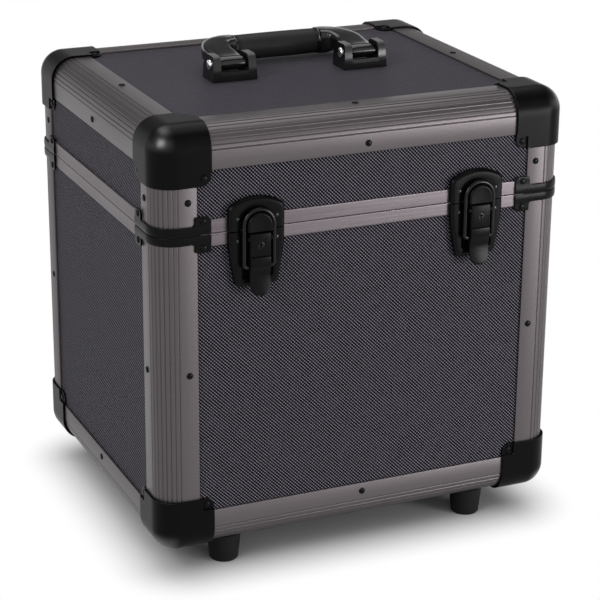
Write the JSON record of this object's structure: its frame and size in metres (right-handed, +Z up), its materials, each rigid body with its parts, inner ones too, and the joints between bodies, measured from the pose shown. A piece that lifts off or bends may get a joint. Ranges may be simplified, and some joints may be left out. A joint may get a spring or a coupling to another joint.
{
  "type": "record carrying case",
  "caption": "Rigid carrying case for long-playing records: a lidded box of laminated boards in grooved aluminium angle, with latches, a folding handle and feet.",
  "frame": {"origin": "on the floor, under the centre of the closed case's bounding box, which takes in the latches and the hinges", "axes": "+X along the front from left to right as a person facing the latches sees it, +Y from the front towards the hinges, +Z up"},
  "size_m": [0.3654, 0.3234, 0.4056],
  "materials": {
    "laminate_board": "dark grey textured laminate on board",
    "anodised_angle": "titanium-grey anodised, grooved round the corner",
    "brushed_rim": "bright satin",
    "moulded_cap": "satin black",
    "black_latch": "satin black",
    "gloss_handle": "gloss black",
    "soft_grip": "smooth black",
    "foot_rubber": "black",
    "foam_lining": "thin dark foam",
    "hinge_steel": "plated steel",
    "lock_steel": "plated steel"
  },
  "bodies": {
    "base": {"base_board_front": "laminate_board", "base_board_right": "laminate_board", "base_board_back": "laminate_board", "base_board_left": "laminate_board", "base_board_bottom": "laminate_board", "base_post_front_left": "anodised_angle", "base_post_front_right": "anodised_angle", "base_post_back_right": "anodised_angle", "base_post_back_left": "anodised_angle", "base_rail_front": "anodised_angle", "base_rail_right": "anodised_angle", "base_rail_back": "anodised_angle", "base_rail_left": "anodised_angle", "base_rim": "brushed_rim", "base_cap_front_left": "moulded_cap", "base_cap_front_right": "moulded_cap", "base_cap_back_right": "moulded_cap", "base_cap_back_left": "moulded_cap", "base_lining": "foam_lining", "foot_front_left": "foot_rubber", "foot_front_right": "foot_rubber", "foot_back_right": "foot_rubber", "foot_back_left": "foot_rubber", "hinge_left_base_leaf": "hinge_steel", "latch_left_plate": "black_latch", "hinge_right_base_leaf": "hinge_steel", "latch_right_plate": "black_latch"},
    "lid": {"lid_board_front": "laminate_board", "lid_board_right": "laminate_board", "lid_board_back": "laminate_board", "lid_board_left": "laminate_board", "lid_board_top": "laminate_board", "lid_post_front_left": "anodised_angle", "lid_post_front_right": "anodised_angle", "lid_post_back_right": "anodised_angle", "lid_post_back_left": "anodised_angle", "lid_rail_front": "anodised_angle", "lid_rail_right": "anodised_angle", "lid_rail_back": "anodised_angle", "lid_rail_left": "anodised_angle", "lid_rim": "brushed_rim", "lid_cap_front_left": "moulded_cap", "lid_cap_front_right": "moulded_cap", "lid_cap_back_right": "moulded_cap", "lid_cap_back_left": "moulded_cap", "lid_lining": "foam_lining", "hinge_left_lid_leaf": "hinge_steel", "latch_left_keeper": "black_latch", "handle_bracket_left": "gloss_handle", "hinge_right_lid_leaf": "hinge_steel", "latch_right_keeper": "black_latch", "handle_bracket_right": "gloss_handle"},
    "handle": {"handle_frame": "gloss_handle", "handle_grip": "soft_grip"},
    "lever_left": {"latch_left_lever": "black_latch"},
    "bail_left": {"latch_left_bail": "black_latch"},
    "plug_left": {"latch_left_lock_plug": "lock_steel"},
    "lever_right": {"latch_right_lever": "black_latch"},
    "bail_right": {"latch_right_bail": "black_latch"},
    "plug_right": {"latch_right_lock_plug": "lock_steel"}
  },
  "joints": [
    {"name": "lid_hinge", "type": "hinge", "parent": "base", "child": "lid", "pos_m": [0, 0.1581, 0.2973], "axis": [-1, 0, 0], "range_deg": [0, 100]},
    {"name": "handle_swing", "type": "hinge", "parent": "lid", "child": "handle", "pos_m": [0, -0.0055, 0.3943], "axis": [1, 0, 0], "range_deg": [0, 90]},
    {"name": "lever_left", "type": "hinge", "parent": "base", "child": "lever_left", "pos_m": [-0.0975, -0.1577, 0.2918], "axis": [-1, 0, 0], "range_deg": [0, 120]},
    {"name": "bail_left", "type": "hinge", "parent": "lever_left", "child": "bail_left", "pos_m": [-0.0975, -0.1567, 0.2683], "axis": [-1, 0, 0], "range_deg": [-120, 0]},
    {"name": "plug_left", "type": "hinge", "parent": "lever_left", "child": "plug_left", "pos_m": [-0.0975, -0.1605, 0.2861], "axis": [0, 1, 0], "range_deg": [0, 90]},
    {"name": "lever_right", "type": "hinge", "parent": "base", "child": "lever_right", "pos_m": [0.0975, -0.1577, 0.2918], "axis": [-1, 0, 0], "range_deg": [0, 120]},
    {"name": "bail_right", "type": "hinge", "parent": "lever_right", "child": "bail_right", "pos_m": [0.0975, -0.1567, 0.2683], "axis": [-1, 0, 0], "range_deg": [-120, 0]},
    {"name": "plug_right", "type": "hinge", "parent": "lever_right", "child": "plug_right", "pos_m": [0.0975, -0.1605, 0.2861], "axis": [0, 1, 0], "range_deg": [0, 90]}
  ],
  "couplings": [
    {"joint": "bail_left", "follows": "lever_left", "ratio": -1},
    {"joint": "bail_right", "follows": "lever_right", "ratio": -1}
  ]
}
